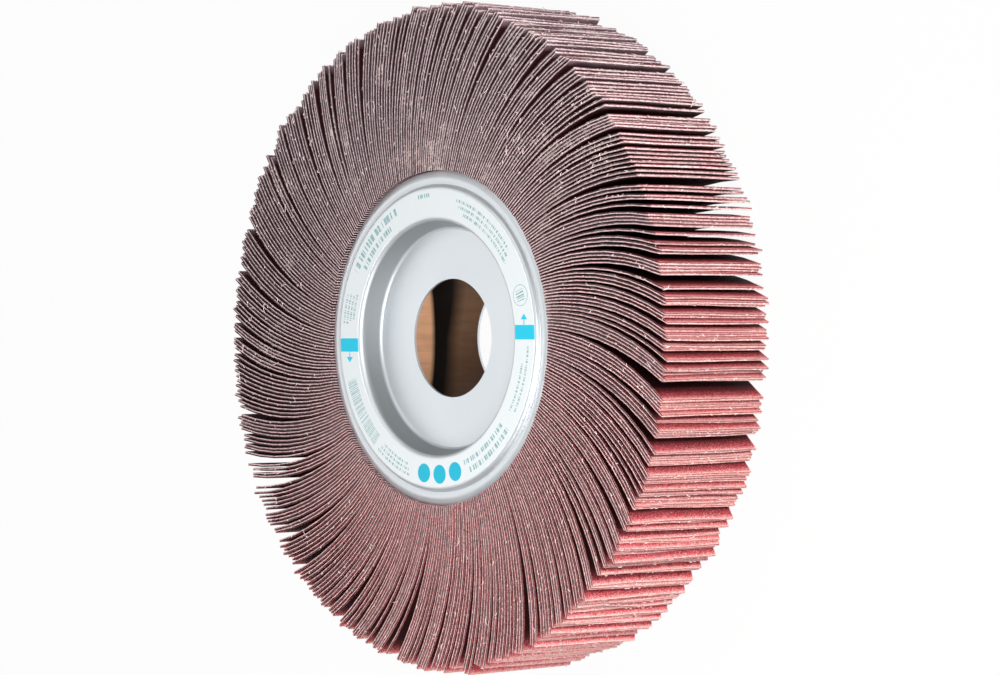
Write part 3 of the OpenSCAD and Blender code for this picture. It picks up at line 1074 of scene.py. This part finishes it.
class FLAPWHEEL_OT_stage(bpy.types.Operator):
    """Makes the camera, the floor and the lamps"""

    bl_idname = "flapwheel.stage"
    bl_label = "Stage"

    def execute(self, context):
        camera_data = bpy.data.cameras.new("camera")
        camera = bpy.data.objects.new("camera", camera_data)
        context.scene.collection.objects.link(camera)
        camera_data.sensor_width = SENSOR_WIDTH
        camera_data.lens = FOCAL_PIXELS / PICTURE_WIDTH * SENSOR_WIDTH
        camera_data.clip_start = 0.05
        camera_data.clip_end = 100
        right = CAMERA_RIGHT.normalized()
        up = (CAMERA_UP - right * CAMERA_UP.dot(right)).normalized()
        back = right.cross(up)
        turn = Matrix((right, up, back)).transposed().to_4x4()
        camera.matrix_world = Matrix.Translation(CAMERA_PLACE) @ turn
        context.scene.camera = camera
        self.floor()
        self.world(context)
        for name, toward, distance, size, watts in LAMPS:
            self.lamp(name, Vector(toward).normalized() * distance, size, watts)
        context.scene.view_settings.view_transform = "Standard"
        return {"FINISHED"}

    def floor(self):
        deselect()
        bpy.ops.mesh.primitive_plane_add(size=FLOOR_SIZE, location=(0, 0, 0))
        floor = bpy.context.active_object
        floor.name = "floor"
        bpy.ops.object.mode_set(mode="EDIT")
        bpy.ops.mesh.select_all(action="SELECT")
        bpy.ops.transform.translate(value=(0, 0, PACK_LOW.z - FLOOR_GAP))
        bpy.ops.mesh.subdivide(number_cuts=FLOOR_CUTS)
        bpy.ops.object.mode_set(mode="OBJECT")
        nodes = Nodes("pale_floor")
        nodes.feed(nodes.shader.inputs["Base Color"], FLOOR_COLOUR)
        nodes.shader.inputs["Roughness"].default_value = 0.9
        nodes.shader.inputs["Specular IOR Level"].default_value = 0.2
        path = nodes.add("ShaderNodeLightPath")
        seen = nodes.math("MAXIMUM", path.outputs["Is Camera Ray"], path.outputs["Is Glossy Ray"])
        seen = nodes.math("MAXIMUM", seen, path.outputs["Is Transmission Ray"])
        glow = nodes.add("ShaderNodeEmission")
        mix = nodes.add("ShaderNodeMixShader")
        nodes.feed(mix.inputs[0], nodes.math("MULTIPLY", seen, FLOOR_GLOW))
        nodes.tree.links.new(nodes.shader.outputs[0], mix.inputs[1])
        nodes.tree.links.new(glow.outputs[0], mix.inputs[2])
        nodes.tree.links.new(mix.outputs[0], nodes.tree.nodes["Material Output"].inputs[0])
        set_materials(floor, nodes.material)

    def world(self, context):
        world = bpy.data.worlds.new("pale_room")
        context.scene.world = world
        world.use_nodes = True
        background = world.node_tree.nodes["Background"]
        background.inputs["Color"].default_value = (1, 1, 1, 1)
        background.inputs["Strength"].default_value = ROOM_STRENGTH

    def lamp(self, name, place, size, watts):
        data = bpy.data.lights.new(name, "AREA")
        data.shape = "DISK"
        data.size = size
        data.energy = watts
        lamp = bpy.data.objects.new(name, data)
        bpy.context.scene.collection.objects.link(lamp)
        lamp.location = place
        lamp.rotation_euler = (-place).to_track_quat("-Z", "Y").to_euler()


class FLAPWHEEL_PT_panel(bpy.types.Panel):
    bl_label = "Flap Wheel"
    bl_idname = "FLAPWHEEL_PT_panel"
    bl_space_type = "VIEW_3D"
    bl_region_type = "UI"
    bl_category = "Flap Wheel"

    def draw(self, context):
        layout = self.layout
        for group in (context.scene.flap_wheel_sizes, context.scene.flap_wheel_colours):
            box = layout.box()
            for name in group.bl_rna.properties.keys():
                if name not in ("rna_type", "name"):
                    box.prop(group, name)
        for step in STEPS:
            layout.operator(step.bl_idname)


STEPS = (
    FLAPWHEEL_OT_stage,
    FLAPWHEEL_OT_finishes,
    FLAPWHEEL_OT_flaps,
    FLAPWHEEL_OT_threads,
    FLAPWHEEL_OT_core,
    FLAPWHEEL_OT_dress,
)
CLASSES = (WheelSizes, WheelColours, *STEPS, FLAPWHEEL_PT_panel)


def register():
    for item in CLASSES:
        bpy.utils.register_class(item)
    bpy.types.Scene.flap_wheel_sizes = PointerProperty(type=WheelSizes)
    bpy.types.Scene.flap_wheel_colours = PointerProperty(type=WheelColours)


def unregister():
    del bpy.types.Scene.flap_wheel_colours
    del bpy.types.Scene.flap_wheel_sizes
    for item in reversed(CLASSES):
        bpy.utils.unregister_class(item)


def main():
    register()
    bpy.ops.flapwheel.stage()
    bpy.ops.flapwheel.finishes()
    bpy.ops.flapwheel.flaps()
    bpy.ops.flapwheel.threads()
    bpy.ops.flapwheel.core()
    bpy.ops.flapwheel.dress()


if __name__ == "__main__":
    main()
